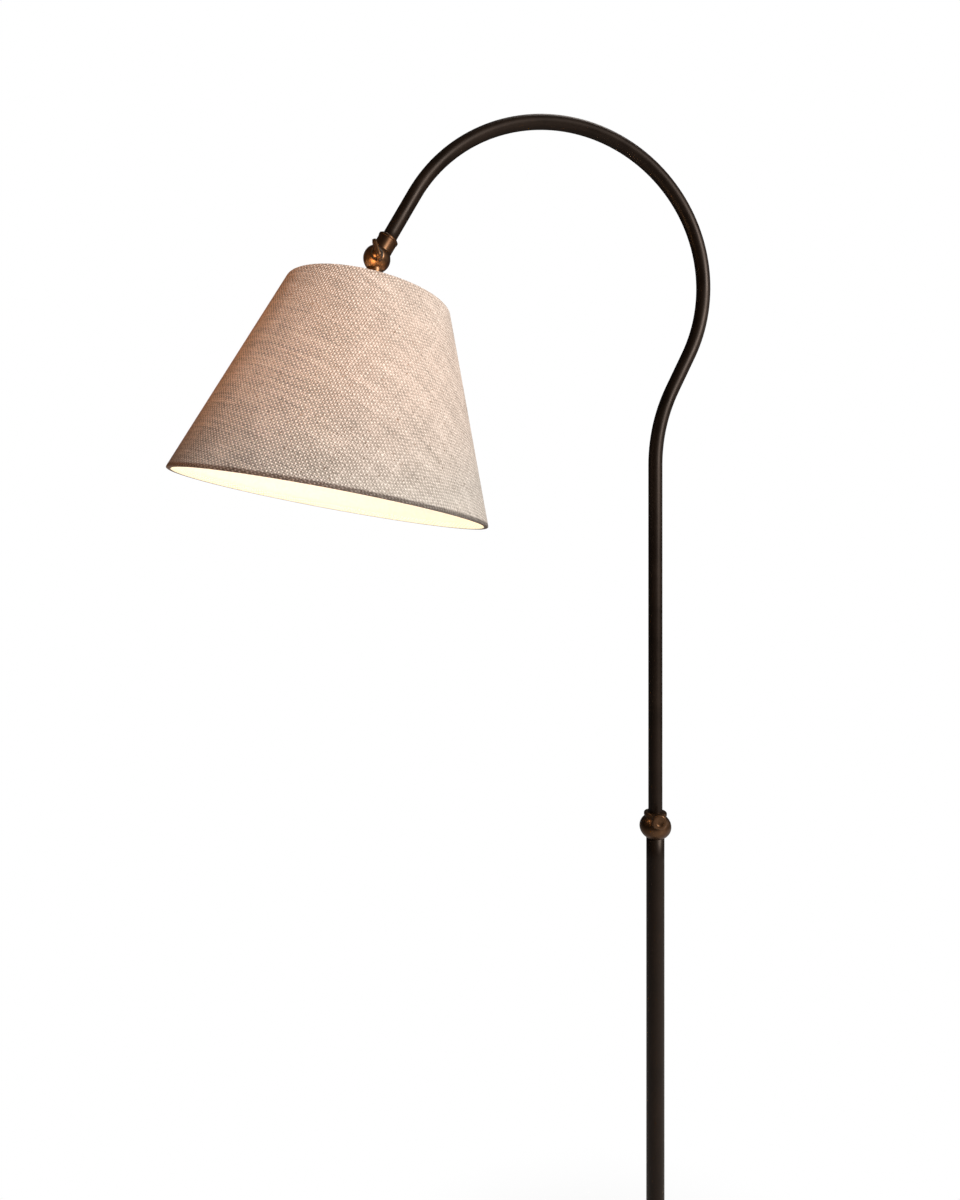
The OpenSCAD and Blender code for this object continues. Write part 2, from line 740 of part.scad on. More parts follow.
module centre_contact() {
    tongue_l = socket_d * 0.58;
    tongue_w = socket_d * 0.18;
    color("#a8935c") in_lamp() translate([0, 0, -socket_floor - 1]) {
        cylinder(r = tongue_w * 0.8, h = 1 - seat_gap);
        translate([-tongue_l / 2, -tongue_w / 2, 0.5]) cube([tongue_l, tongue_w, 0.5 - seat_gap]);
    }
}

module switch_shaft() {
    r_in = socket_r + socket_wall + 1.2;
    color(steel) in_lamp() translate([0, 0, -switch_s]) rotate([90, 0, 0])
        translate([0, 0, r_in]) difference() {
            cylinder(r = 3.2, h = sleeve_r + 4.5 - r_in);
            translate([0, 0, 2]) cylinder(r = 1.5 + run_fit, h = sleeve_r);
        }
}

module switch_knob() {
    start = sleeve_r + 4.5 + face_gap;
    ribs = 16;
    color("#1a1613") in_lamp() translate([0, 0, -switch_s]) rotate([90, 0, 0]) difference() {
        union() {
            translate([0, 0, sleeve_r]) cylinder(r = 1.5, h = 5);
            translate([0, 0, start]) rotate_extrude() polygon(concat(
                [[0, 0], [3.6, 0], [switch_d / 2 - 0.6, 1.6], [switch_d / 2, 2.4]],
                [[switch_d / 2 - 0.5, switch_len - 1.5]],
                arc([switch_d / 2 - 2, switch_len - 1.5], 1.5, 0, 90, 6),
                [[0, switch_len + 0.4]]
            ));
        }
        for (i = [0:ribs - 1]) rotate([0, 0, i * 360 / ribs])
            translate([switch_d / 2 + 0.25, 0, start + 2]) cylinder(r = 0.6, h = switch_len);
    }
}

// ---- shade ----

module shade_ring_nut() {
    top = carrier_s + carrier_t + seat_gap;
    r_in = sleeve_r + joint_fit;
    side = [
        [r_in, top], [carrier_d / 2, top], [carrier_d / 2, top + 1.8], [r_in + 3.2, top + 2.6],
        [r_in + 2.4, top + ring_nut_h - 0.6], [r_in + 1.8, top + ring_nut_h], [r_in, top + ring_nut_h]
    ];
    color("#1a1613") in_lamp() rotate_extrude() polygon([for (p = side) [p.x, -p.y]]);
}

ring_top_s = rim_s + ring_d / 2 + ring_lap;
ring_low_s = hem_s - ring_d / 2 - ring_lap;
wall_t = linen_t + liner_t;
wall_w = wall_t * lean_k;
function ring_r(s) = shade_r(s) - wall_w - (ring_d / 2 + ring_lap) * lean_k;

// Wire carrier: a flat ring on the lampholder, spokes pressed flat where they meet it, and the
// top rim ring.
module shade_carrier() {
    hub_s = carrier_s + carrier_t / 2;
    hub_r = carrier_d / 2 - 1;
    run = ring_r(ring_top_s) - hub_r;
    rise = hub_s - ring_top_s;
    press_r = carrier_d / 2 + ring_lap * 4;
    color(cream) in_lamp() {
        translate([0, 0, -carrier_s - carrier_t]) ring(carrier_d / 2, sleeve_r + 0.3, carrier_t);
        difference() {
            for (i = [0:spokes - 1]) rotate([0, 0, 60 + i * 360 / spokes])
                translate([hub_r, 0, -hub_s]) rotate([0, atan2(run, rise), 0])
                    cylinder(r = spoke_d / 2, h = sqrt(run * run + rise * rise));
            translate([0, 0, -carrier_s]) cylinder(r = press_r, h = spoke_d);
            translate([0, 0, -carrier_s - carrier_t - spoke_d]) cylinder(r = press_r, h = spoke_d);
        }
        translate([0, 0, -ring_top_s]) rotate_extrude()
            translate([ring_r(ring_top_s), 0]) circle(r = ring_d / 2);
    }
}

module shade_bottom_ring() {
    color(cream) in_lamp() translate([0, 0, -ring_low_s]) rotate_extrude()
        translate([ring_r(ring_low_s), 0]) circle(r = ring_d / 2);
}

module shade_liner() {
    color(cream) in_lamp() rotate_extrude() polygon([
        for (e = [[rim_s, linen_t], [hem_s, linen_t], [hem_s, wall_t], [rim_s, wall_t]])
            [shade_r(e[0]) - e[1] * lean_k - liner_gap, -e[0]]
    ]);
}

// Inside faces of the linen's outer wall and of its turned-in leg, and the leg's free face.
function wall_in(s) = shade_r(s) - linen_t * lean_k;
function leg_out(s) = shade_r(s) - wall_w - (ring_d + 2 * ring_lap) * lean_k;
function leg_in(s) = leg_out(s) - linen_t * lean_k;

// A corner at b, between a and c, rounded from `cut` before it to `cut` after it.
function corner(a, b, c, cut, n = 6) =
    let (p = b + cut * (a - b) / norm(a - b), q = b + cut * (c - b) / norm(c - b))
    [for (i = [0:n]) let (u = i / n) pow(1 - u, 2) * p + 2 * u * (1 - u) * b + u * u * q];

// The linen goes round the outside and is turned in over the liner and both rings. Its inner leg
// at the top is notched where each spoke of the carrier passes through it.
module shade_linen() {
    fold_r = 2 * linen_t;
    notch_w = spoke_d + 8 * ring_lap;
    top = rim_s - ring_lap;
    low = hem_s + ring_lap;
    far_top = rim_s + turn_in;
    far_low = hem_s - turn_in;
    rim = top - linen_t;
    hem = low + linen_t;
    outside = [
        [leg_in(far_top), far_top], [leg_in(rim), rim], [shade_r(rim), rim],
        [shade_r(hem), hem], [leg_in(hem), hem], [leg_in(far_low), far_low]
    ];
    inside = [
        [leg_out(far_low), far_low], [leg_out(low), low], [wall_in(low), low],
        [wall_in(top), top], [leg_out(top), top], [leg_out(far_top), far_top]
    ];
    rounded = [for (i = [1:4]) each corner(outside[i - 1], outside[i], outside[i + 1], fold_r)];
    side = concat([outside[0]], rounded, [outside[5]], inside);
    color("#cdbfa6") in_lamp() difference() {
        rotate_extrude() polygon([for (p = side) [p.x, -p.y]]);
        for (i = [0:spokes - 1]) rotate([0, 0, 60 + i * 360 / spokes])
            translate([leg_in(rim_s) - 1, -notch_w / 2, -far_top - 1])
                cube([leg_out(far_top) - leg_in(rim_s) + 1 + ring_lap, notch_w, turn_in + 1]);
    }
}

// ---- bulb ----

module bulb_cap() {
    turns = 4;
    wave = 0.3;
    steps = 8 * turns;
    thread = [for (i = [0:steps]) [
        cap_d / 2 - wave + wave * cos(360 * turns * i / steps),
        bulb_cap_s + 4 + (cap_len - 7) * i / steps]];
    side = concat(
        [[0, bulb_cap_s + 1], [5, bulb_cap_s + 1], [cap_d / 2 - 2, bulb_cap_s + 3]],
        thread,
        [[cap_d / 2 + 0.1, glass_s - 1], [cap_d / 2 + 0.1, glass_s], [0, glass_s]]
    );
    color("#b5b2aa") in_lamp() rotate_extrude() polygon([for (p = side) [p.x, -p.y]]);
}

module bulb_contact() {
    color(steel) in_lamp() rotate_extrude() polygon([for (p = [
        [0, bulb_cap_s - 1.3], [2.5, bulb_cap_s - 1], [4, bulb_cap_s + 0.2], [4, bulb_cap_s + 1],
        [0, bulb_cap_s + 1]
    ]) [p.x, -p.y]]);
}

glass_t = 0.8;
neck_r = cap_d / 2 + 0.6;
belly_s = glass_s + bulb_len - bulb_d / 2;

// Half outline of the bulb, `t` inside its outer face.
function bulb_side(t) = concat(
    [for (i = [0:curve_steps]) let (u = i / curve_steps)
        [neck_r - t + (bulb_d / 2 - neck_r) * ease(u), glass_s + t + (belly_s - glass_s - t) * u]],
    [for (i = [1:curve_steps]) let (a = 90 * i / curve_steps)
        [(bulb_d / 2 - t) * cos(a), belly_s + (bulb_d / 2 - t) * sin(a)]]
);

module bulb_glass() {
    color("#f6efe0", 0.5) in_lamp() difference() {
        rotate_extrude() polygon([for (p = concat([[0, glass_s]], bulb_side(0))) [p.x, -p.y]]);
        rotate_extrude() polygon([for (p = concat([[0, glass_s + glass_t]], bulb_side(glass_t)))
            [p.x, -p.y]]);
    }
}

// Flared glass foot of the filaments, with a button at its far end.
stem_h = bulb_len * 0.27;
module bulb_stem() {
    s0 = glass_s + glass_t;
    foot_r = neck_r / 2;
    color("#dfe6e6", 0.6) in_lamp() rotate_extrude() polygon([for (p = [
        [0, s0], [foot_r, s0], [foot_r * 0.7, s0 + stem_h * 0.3], [foot_r * 0.35, s0 + stem_h * 0.5],
        [foot_r * 0.3, s0 + stem_h * 0.86], [foot_r * 0.5, s0 + stem_h * 0.94],
        [foot_r * 0.5, s0 + stem_h], [0, s0 + stem_h]
    ]) [p.x, -p.y]]);
}

// Four straight filament rods between a small plate on the stem and the ring at their far ends.
module bulb_filaments() {
    s0 = glass_s + glass_t + stem_h + seat_gap;
    rod_len = bulb_len * 0.38;
    spread = bulb_d * 0.15;
    plate_t = 0.8;
    plate_r = 3.2;
    start_r = 2.2;
    color("#f2c14e") in_lamp() {
        translate([0, 0, -s0 - plate_t]) cylinder(r = plate_r, h = plate_t);
        for (a = [45:90:315]) rotate([0, 0, a]) translate([start_r, 0, -s0 - plate_t / 2])
            rotate([0, 180 - atan2(spread - start_r, rod_len), 0])
                cylinder(r = 0.9, h = norm([rod_len, spread - start_r]));
        translate([0, 0, -s0 - rod_len - plate_t]) ring(spread + 0.8, spread - 0.8, 0.8);
    }
}

base_felt();
base_weight();
base_cover();
base_nipple();
base_washer();
base_nut();
cord_bush();
foot_ring();
tube_plug();
lower_tube();
collar_ball();
collar_pad();
collar_thumbscrew();
guide_bush();
bush_keepers();
arm_tube();
swivel_socket();
swivel_arm_screw();
swivel_half();
friction_ring();
swivel_washer();
swivel_thumbscrew();
holder_nipple();
holder_nut();
holder_cap();
holder_sleeve();
holder_insulator();
holder_terminals();
screw_socket();
centre_contact();
switch_shaft();
switch_knob();
shade_ring_nut();
shade_carrier();
shade_bottom_ring();
shade_liner();
shade_linen();
bulb_cap();
bulb_contact();
bulb_glass();
bulb_stem();
bulb_filaments();
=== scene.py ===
import json
from math import atan2, cos, degrees, hypot, pi, radians, sin

import bmesh
import bpy
from mathutils import Matrix, Vector

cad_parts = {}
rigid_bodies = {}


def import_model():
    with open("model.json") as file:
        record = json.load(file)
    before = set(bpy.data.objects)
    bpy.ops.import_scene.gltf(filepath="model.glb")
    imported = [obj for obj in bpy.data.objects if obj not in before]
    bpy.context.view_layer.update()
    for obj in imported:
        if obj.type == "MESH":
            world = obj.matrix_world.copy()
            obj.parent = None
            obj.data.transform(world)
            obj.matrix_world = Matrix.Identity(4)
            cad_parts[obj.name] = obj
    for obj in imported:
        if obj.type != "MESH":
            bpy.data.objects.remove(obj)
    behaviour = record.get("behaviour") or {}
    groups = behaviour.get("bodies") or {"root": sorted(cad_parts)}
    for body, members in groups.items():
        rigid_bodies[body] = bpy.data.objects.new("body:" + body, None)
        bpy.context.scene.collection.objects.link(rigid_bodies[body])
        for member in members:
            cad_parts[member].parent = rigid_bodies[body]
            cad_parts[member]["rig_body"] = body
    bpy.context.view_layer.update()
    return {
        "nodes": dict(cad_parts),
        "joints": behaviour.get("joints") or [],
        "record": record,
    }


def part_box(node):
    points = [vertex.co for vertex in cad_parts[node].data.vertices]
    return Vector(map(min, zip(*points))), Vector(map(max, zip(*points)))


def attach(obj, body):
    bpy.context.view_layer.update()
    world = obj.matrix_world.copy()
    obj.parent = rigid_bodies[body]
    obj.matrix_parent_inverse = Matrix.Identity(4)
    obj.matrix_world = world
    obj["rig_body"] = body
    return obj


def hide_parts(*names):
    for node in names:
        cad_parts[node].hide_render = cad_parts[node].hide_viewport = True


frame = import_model()
mm = 0.001
print("frame loaded:", len(frame["nodes"]), "nodes")

joints = {j["name"]: j for j in frame["joints"]}
swivelAt = Vector(joints["shade_tilt"]["pos_m"])
collarAxis = Vector(joints["clamp_screw_turn"]["axis"])
collarScrewAt = Vector(joints["clamp_screw_turn"]["pos_m"])
shadeTilt = radians(10)

# lamp side: its own Z points up the shade's axis, and s is a distance below the swivel
lampFrame = Matrix.Translation(swivelAt) @ Matrix.Rotation(shadeTilt, 4, "Y")


camera = {"at": (-0.2818, -0.7367, 0.9712), "yaw": -7.94, "focal": 22.8, "shiftDown": 0.0352}

lights = {
    "key": {"at": (1.63, -2.13, 2.0), "aim": (-0.2, 0.0, 1.1), "size": 1.1, "watts": 113},
    "side": {"at": (2.3, 0.2, 1.6), "aim": (-0.1, 0.0, 1.0), "size": 1.4, "watts": 3},
    "top": {"at": (0.5, 0.5, 3.4), "aim": (-0.1, 0.0, 1.0), "size": 1.0, "watts": 13},
    "skyStrength": 0.05,
}
bulbLights = {
    "bulbLight": {"at": (0.0, 0.0, -0.18), "size": 0.02, "watts": 0.14, "colour": (1.0, 0.87, 0.74)},
    # what comes back up from the liner, through the shade's top, onto the swivel
    "rimGlow": {"at": (-0.03, -0.052, -0.05), "size": 0.02, "watts": 0.45, "colour": (1.0, 0.62, 0.28)},
}


def placeCamera():
    data = bpy.data.cameras.new("camera")
    data.lens = camera["focal"]
    data.sensor_width = 36
    data.shift_y = -camera["shiftDown"]
    data.clip_start = 0.02
    obj = bpy.data.objects.new("camera", data)
    obj.location = camera["at"]
    obj.rotation_euler = (radians(90), 0, radians(camera["yaw"]))
    bpy.context.scene.collection.objects.link(obj)
    bpy.context.scene.camera = obj


def softLamp(name, at, aim, size, watts):
    data = bpy.data.lights.new(name, "AREA")
    data.shape = "DISK"
    data.size = size
    data.energy = watts
    obj = bpy.data.objects.new(name, data)
    direction = Vector(aim) - Vector(at)
    obj.matrix_world = Matrix.Translation(at) @ direction.to_track_quat("-Z", "Y").to_matrix().to_4x4()
    bpy.context.scene.collection.objects.link(obj)


def warmLamp(name, at, size, watts, colour):
    data = bpy.data.lights.new(name, "POINT")
    data.energy = watts
    data.color = colour
    data.shadow_soft_size = size
    obj = bpy.data.objects.new(name, data)
    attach(obj, "lamp")
    obj.matrix_world = Matrix.Translation(lampFrame @ Vector(at))
    bpy.context.scene.collection.objects.link(obj)


def cameraRayMask(nodes, links):
    path = nodes.new("ShaderNodeLightPath")
    either = nodes.new("ShaderNodeMath")
    either.operation = "MAXIMUM"
    links.new(path.outputs["Is Camera Ray"], either.inputs[0])
    links.new(path.outputs["Is Transmission Ray"], either.inputs[1])
    return either.outputs[0]


def whiteRoom():
    world = bpy.data.worlds.new("room")
    bpy.context.scene.world = world
    world.use_nodes = True
    nodes, links = world.node_tree.nodes, world.node_tree.links
    nodes.clear()
    seen = cameraRayMask(nodes, links)
    sky = nodes.new("ShaderNodeBackground")
    white = nodes.new("ShaderNodeBackground")
    for shade, strength in ((sky, lights["skyStrength"]), (white, 1.0)):
        shade.inputs["Color"].default_value = (1, 1, 1, 1)
        shade.inputs["Strength"].default_value = strength
    mix = nodes.new("ShaderNodeMixShader")
    out = nodes.new("ShaderNodeOutputWorld")
    links.new(seen, mix.inputs[0])
    links.new(sky.outputs[0], mix.inputs[1])
    links.new(white.outputs[0], mix.inputs[2])
    links.new(mix.outputs[0], out.inputs["Surface"])
    bpy.context.scene.view_settings.view_transform = "Standard"


paper = {"size": 14.0, "tone": 0.8, "plainNear": 0.72, "near": 0.15, "far": 0.5}


def paleFloor():
    # plain white to the camera from `far` outwards, and paper that takes the shadow round the base
    bm = bmesh.new()
    bmesh.ops.create_grid(bm, x_segments=2, y_segments=2, size=paper["size"] / 2)
    mesh = bpy.data.meshes.new("floor")
    bm.to_mesh(mesh)
    bm.free()
    obj = bpy.data.objects.new("floor", mesh)
    bpy.context.scene.collection.objects.link(obj)
    mat = bpy.data.materials.new("floorPaper")
    mat.use_nodes = True
    nodes, links = mat.node_tree.nodes, mat.node_tree.links
    nodes.clear()
    seen = cameraRayMask(nodes, links)
    matt = nodes.new("ShaderNodeBsdfDiffuse")
    matt.inputs["Color"].default_value = (paper["tone"], paper["tone"], paper["tone"], 1)
    glow = nodes.new("ShaderNodeEmission")
    away = nodes.new("ShaderNodeVectorMath")
    away.operation = "LENGTH"
    links.new(nodes.new("ShaderNodeTexCoord").outputs["Object"], away.inputs[0])
    share = nodes.new("ShaderNodeMapRange")
    share.interpolation_type = "SMOOTHSTEP"
    share.inputs["From Min"].default_value = paper["near"]
    share.inputs["From Max"].default_value = paper["far"]
    share.inputs["To Min"].default_value = paper["plainNear"]
    links.new(away.outputs["Value"], share.inputs["Value"])
    part = nodes.new("ShaderNodeMath")
    part.operation = "MULTIPLY"
    links.new(share.outputs[0], part.inputs[1])
    mix = nodes.new("ShaderNodeMixShader")
    out = nodes.new("ShaderNodeOutputMaterial")
    links.new(seen, part.inputs[0])
    links.new(part.outputs[0], mix.inputs[0])
    links.new(matt.outputs[0], mix.inputs[1])
    links.new(glow.outputs[0], mix.inputs[2])
    links.new(mix.outputs[0], out.inputs["Surface"])
    mesh.materials.append(mat)


placeCamera()
for lampName in ("key", "side", "top"):
    softLamp(lampName, **lights[lampName])
whiteRoom()
paleFloor()
print("camera, lights and floor placed")


def startMaterial(name):
    mat = bpy.data.materials.new(name)
    mat.use_nodes = True
    nodes, links = mat.node_tree.nodes, mat.node_tree.links
    nodes.clear()
    out = nodes.new("ShaderNodeOutputMaterial")
    shader = nodes.new("ShaderNodeBsdfPrincipled")
    links.new(shader.outputs[0], out.inputs["Surface"])
    return mat, nodes, links, shader


def math(nodes, links, operation, a, b=None):
    node = nodes.new("ShaderNodeMath")
    node.operation = operation
    for i, value in enumerate((a, b)):
        if value is None:
            continue
        if isinstance(value, (int, float)):
            node.inputs[i].default_value = value
        else:
            links.new(value, node.inputs[i])
    return node.outputs[0]


def noise(nodes, links, vector, scale, detail=2.0, rough=0.5):
    node = nodes.new("ShaderNodeTexNoise")
    node.inputs["Scale"].default_value = scale
    node.inputs["Detail"].default_value = detail
    node.inputs["Roughness"].default_value = rough
    links.new(vector, node.inputs["Vector"])
    return node.outputs["Fac"]


def ramp(nodes, links, value, stops):
    node = nodes.new("ShaderNodeValToRGB")
    band = node.color_ramp
    while len(band.elements) < len(stops):
        band.elements.new(0.5)
    for element, (place, colour) in zip(band.elements, stops):
        element.position = place
        element.color = (*colour, 1)
    links.new(value, node.inputs[0])
    return node.outputs["Color"]


def stretch(nodes, links, vector, scale):
    node = nodes.new("ShaderNodeMapping")
    node.inputs["Scale"].default_value = scale
    links.new(vector, node.inputs["Vector"])
    return node.outputs[0]


def bump(nodes, links, shader, height, strength, depth):
    node = nodes.new("ShaderNodeBump")
    node.inputs["Strength"].default_value = strength
    node.inputs["Distance"].default_value = depth
    links.new(height, node.inputs["Height"])
    links.new(node.outputs[0], shader.inputs["Normal"])


def objectPlace(nodes):
    return nodes.new("ShaderNodeTexCoord").outputs["Object"]


bronze = {
    "dark": (0.006, 0.0029, 0.0014),
    "light": (0.0145, 0.0076, 0.0042),
    "roughLow": 0.36,
    "roughHigh": 0.5,
}


def bronzePaint():
    mat, nodes, links, shader = startMaterial("bronzePaint")
    place = objectPlace(nodes)
    cloud = noise(nodes, links, place, 38, 4, 0.6)
    speck = noise(nodes, links, place, 900, 2, 0.6)
    both = math(nodes, links, "ADD", math(nodes, links, "MULTIPLY", cloud, 0.7),
                math(nodes, links, "MULTIPLY", speck, 0.3))
    colour = ramp(nodes, links, both, [(0.32, bronze["dark"]), (0.68, bronze["light"])])
    links.new(colour, shader.inputs["Base Color"])
    rough = ramp(nodes, links, both, [(0.3, (bronze["roughLow"],) * 3), (0.7, (bronze["roughHigh"],) * 3)])
    links.new(rough, shader.inputs["Roughness"])
    shader.inputs["Metallic"].default_value = 0.25
    shader.inputs["Specular IOR Level"].default_value = 0.28
    shader.inputs["Specular Tint"].default_value = (1.0, 0.82, 0.7, 1)
    bump(nodes, links, shader, speck, 0.12, 0.0002)
    return mat


brass = {
    "dark": (0.075, 0.034, 0.015),
    "mid": (0.11, 0.053, 0.024),
    "bright": (0.17, 0.087, 0.04),
    "rough": (0.33, 0.4),
}


def agedBrass(name="agedBrass", lighten=1.0):
    mat, nodes, links, shader = startMaterial(name)
    place = objectPlace(nodes)
    stain = noise(nodes, links, place, 70, 3, 0.5)
    rub = noise(nodes, links, stretch(nodes, links, place, (1, 1, 5)), 300, 2, 0.5)
    both = math(nodes, links, "ADD", math(nodes, links, "MULTIPLY", stain, 0.85),
                math(nodes, links, "MULTIPLY", rub, 0.15))
    tint = [tuple(min(1.0, c * lighten) for c in brass[k]) for k in ("dark", "mid", "bright")]
    colour = ramp(nodes, links, both, [(0.32, tint[0]), (0.52, tint[1]), (0.8, tint[2])])
    links.new(colour, shader.inputs["Base Color"])
    low, high = brass["rough"]
    rough = ramp(nodes, links, stain, [(0.3, (high,) * 3), (0.7, (low,) * 3)])
    links.new(rough, shader.inputs["Roughness"])
    shader.inputs["Metallic"].default_value = 0.9
    bump(nodes, links, shader, rub, 0.04, 0.0001)
    return mat


def simpleFinish(name, dark, light, rough, metallic=0.0, scale=120, grainDepth=0.0001, coat=0.0):
    mat, nodes, links, shader = startMaterial(name)
    place = objectPlace(nodes)
    grain = noise(nodes, links, place, scale, 4, 0.6)
    links.new(ramp(nodes, links, grain, [(0.3, dark), (0.7, light)]), shader.inputs["Base Color"])
    span = ramp(nodes, links, grain, [(0.3, (rough * 0.85,) * 3), (0.7, (min(1, rough * 1.15),) * 3)])
    links.new(span, shader.inputs["Roughness"])
    shader.inputs["Metallic"].default_value = metallic
    shader.inputs["Coat Weight"].default_value = coat
    bump(nodes, links, shader, noise(nodes, links, place, scale * 9, 2, 0.5), 0.15, grainDepth)
    return mat


linen = {
    "warpPitch": 2.2 * mm,  # distance between the threads that run down the shade
    "weftPitch": 1.81 * mm,  # distance between the threads that run round it
    "dark": (0.17, 0.132, 0.1),
    "mid": (0.49, 0.425, 0.36),
    "light": (0.85, 0.77, 0.68),
    "fleck": (0.13, 0.085, 0.05),
    "glow": (1.0, 0.34, 0.09),
    "glowStrength": 0.3,
    "glowAt": (-0.03, -0.035, -0.128),
    "glowReach": (0.07, 0.175),  # full up to the first distance, and glowFar past the second
    "glowFar": 0.1,
    "glowGain": 3.2,
    "glowCut": 1.95,
    # how dark the painted shade is where the linen turns under the hem
    "foldTone": 0.3,
    "litEdge": (1.0, 0.85, 0.55),
    "rough": 0.9,
    "swayLay": ((130, 26, 1), (26, 130, 9)),  # lay of the noise that lets warp and weft wander
    "swayBy": 1.3,
    "shares": (0.36, 0.1, 0.5, 0.22, 0.3, 0.3),  # of over, knob, yarn, patch, cell and streak
    "stops": (0.55, 0.84, 1.0),  # where dark, mid and light stand in that sum
    "fleckSpan": (0.63, 0.71),
    "fleckShare": 0.75,
    "bumpDepth": 1.1 * mm,
}


def weave(nodes, links):
    # plain weave on the cloth's own UV map, whose unit is the metre
    uv = nodes.new("ShaderNodeUVMap")
    uv.uv_map = "cloth"
    cloth = uv.outputs[0]
    split = nodes.new("ShaderNodeSeparateXYZ")
    links.new(cloth, split.inputs[0])
    sways = []
    for lay in linen["swayLay"]:
        drift = noise(nodes, links, stretch(nodes, links, cloth, lay), 1.0, 3)
        sways.append(math(nodes, links, "SUBTRACT", drift, 0.5))
    waves = []
    for axis, pitch, sway in ((0, linen["warpPitch"], sways[0]), (1, linen["weftPitch"], sways[1])):
        count = math(nodes, links, "DIVIDE", split.outputs[axis], pitch)
        at = math(nodes, links, "ADD", count, math(nodes, links, "MULTIPLY", sway, linen["swayBy"]))
        waves.append(math(nodes, links, "SINE", math(nodes, links, "MULTIPLY", at, pi)))
    crossing = math(nodes, links, "MULTIPLY", *waves)
    knob = math(nodes, links, "ABSOLUTE", crossing)
    over = math(nodes, links, "ADD", math(nodes, links, "MULTIPLY", crossing, 0.5), 0.5)
    yarns = []
    for lay in ((1 / linen["warpPitch"], 16, 1), (16, 1 / linen["weftPitch"], 7)):
        yarns.append(noise(nodes, links, stretch(nodes, links, cloth, lay), 1.0, 3, 0.65))
    yarn = nodes.new("ShaderNodeMix")
    links.new(over, yarn.inputs[0])
    links.new(yarns[1], yarn.inputs[2])
    links.new(yarns[0], yarn.inputs[3])
    return cloth, knob, over, yarn.outputs[0]


def linenCloth():
    mat, nodes, links, shader = startMaterial("linenCloth")
    cloth, knob, over, yarn = weave(nodes, links)
    # tops of the warp are light, gaps dark, and each yarn has its own tone
    patch = noise(nodes, links, stretch(nodes, links, cloth, (34, 34, 1)), 1.0, 4, 0.65)
    cell = noise(nodes, links, stretch(nodes, links, cloth, (420, 520, 1)), 1.0, 1)
    streak = noise(nodes, links, stretch(nodes, links, cloth, (24, 330, 3)), 1.0, 3, 0.6)
    value = 0.0
    for source, share in zip((over, knob, yarn, patch, cell, streak), linen["shares"]):
        value = math(nodes, links, "ADD", math(nodes, links, "MULTIPLY", source, share), value)
    tints = [linen[key] for key in ("dark", "mid", "light")]
    colour = ramp(nodes, links, value, list(zip(linen["stops"], tints)))
    # short dark slubs and specks of husk
    specks = noise(nodes, links, stretch(nodes, links, cloth, (310, 190, 1)), 1.0, 3, 0.6)
    fleckAt = nodes.new("ShaderNodeMapRange")
    fleckAt.inputs["From Min"].default_value = linen["fleckSpan"][0]
    fleckAt.inputs["From Max"].default_value = linen["fleckSpan"][1]
    fleckAt.inputs["To Max"].default_value = linen["fleckShare"]
    links.new(specks, fleckAt.inputs["Value"])
    blend = nodes.new("ShaderNodeMix")
    blend.data_type = "RGBA"
    links.new(fleckAt.outputs[0], blend.inputs[0])
    links.new(colour, blend.inputs[6])
    blend.inputs[7].default_value = (*linen["fleck"], 1)
    # painted shade: the cloth's colour is multiplied darker where it turns under the hem, standing in for
    # the shade on the fold's downward face
    fold = nodes.new("ShaderNodeAttribute")
    fold.attribute_name = "hemFold"
    shadedHem = nodes.new("ShaderNodeMix")
    shadedHem.data_type = "RGBA"
    shadedHem.blend_type = "MULTIPLY"
    links.new(fold.outputs["Fac"], shadedHem.inputs[0])
    links.new(blend.outputs[2], shadedHem.inputs[6])
    shadedHem.inputs[7].default_value = (linen["foldTone"],) * 3 + (1,)
    links.new(shadedHem.outputs[2], shader.inputs["Base Color"])
    shader.inputs["Roughness"].default_value = linen["rough"]
    shader.inputs["Sheen Weight"].default_value = 0.1
    shader.inputs["Specular IOR Level"].default_value = 0.15
    height = math(nodes, links, "ADD", math(nodes, links, "MULTIPLY", over, 0.7),
                  math(nodes, links, "MULTIPLY", knob, math(nodes, links, "ADD", yarn, 0.3)))
    bump(nodes, links, shader, height, 1.0, linen["bumpDepth"])
    glowFromBulb(nodes, links, shader, value)
    return mat


def glowFromBulb(nodes, links, shader, value):
    # light through the cloth: strongest near the bulb, and through the gaps between threads
    place = objectPlace(nodes)
    bulbAt = lampFrame @ Vector(linen["glowAt"])
    away = nodes.new("ShaderNodeVectorMath")
    away.operation = "DISTANCE"
    links.new(place, away.inputs[0])
    away.inputs[1].default_value = bulbAt
    fall = nodes.new("ShaderNodeMapRange")
    fall.inputs["From Min"].default_value = linen["glowReach"][0]
    fall.inputs["From Max"].default_value = linen["glowReach"][1]
    fall.inputs["To Min"].default_value = 1.0
    fall.inputs["To Max"].default_value = linen["glowFar"]
    links.new(away.outputs["Value"], fall.inputs["Value"])
    gaps = math(nodes, links, "MULTIPLY", value, linen["glowGain"])
    amount = math(nodes, links, "MULTIPLY", fall.outputs[0],
                  math(nodes, links, "SUBTRACT", gaps, linen["glowCut"]))
    dim = tuple(c * linen["glowStrength"] for c in linen["glow"])
    through = ramp(nodes, links, amount, [(0.0, (0, 0, 0)), (1.0, dim)])
    # the turned-in edge is lit from inside
    edge = nodes.new("ShaderNodeAttribute")
    edge.attribute_name = "litEdge"
    lit = nodes.new("ShaderNodeMix")
    lit.data_type = "RGBA"
    links.new(edge.outputs["Fac"], lit.inputs[0])
    links.new(through, lit.inputs[6])
    lit.inputs[7].default_value = (*linen["litEdge"], 1)
    links.new(lit.outputs[2], shader.inputs["Emission Color"])
    shader.inputs["Emission Strength"].default_value = 1.0


inside = {
    "linerGlow": 0.36,
    "linerColour": (1.0, 0.88, 0.74),
    "glassGlow": 1.6,
    "glassColour": (1.0, 0.87, 0.7),
}


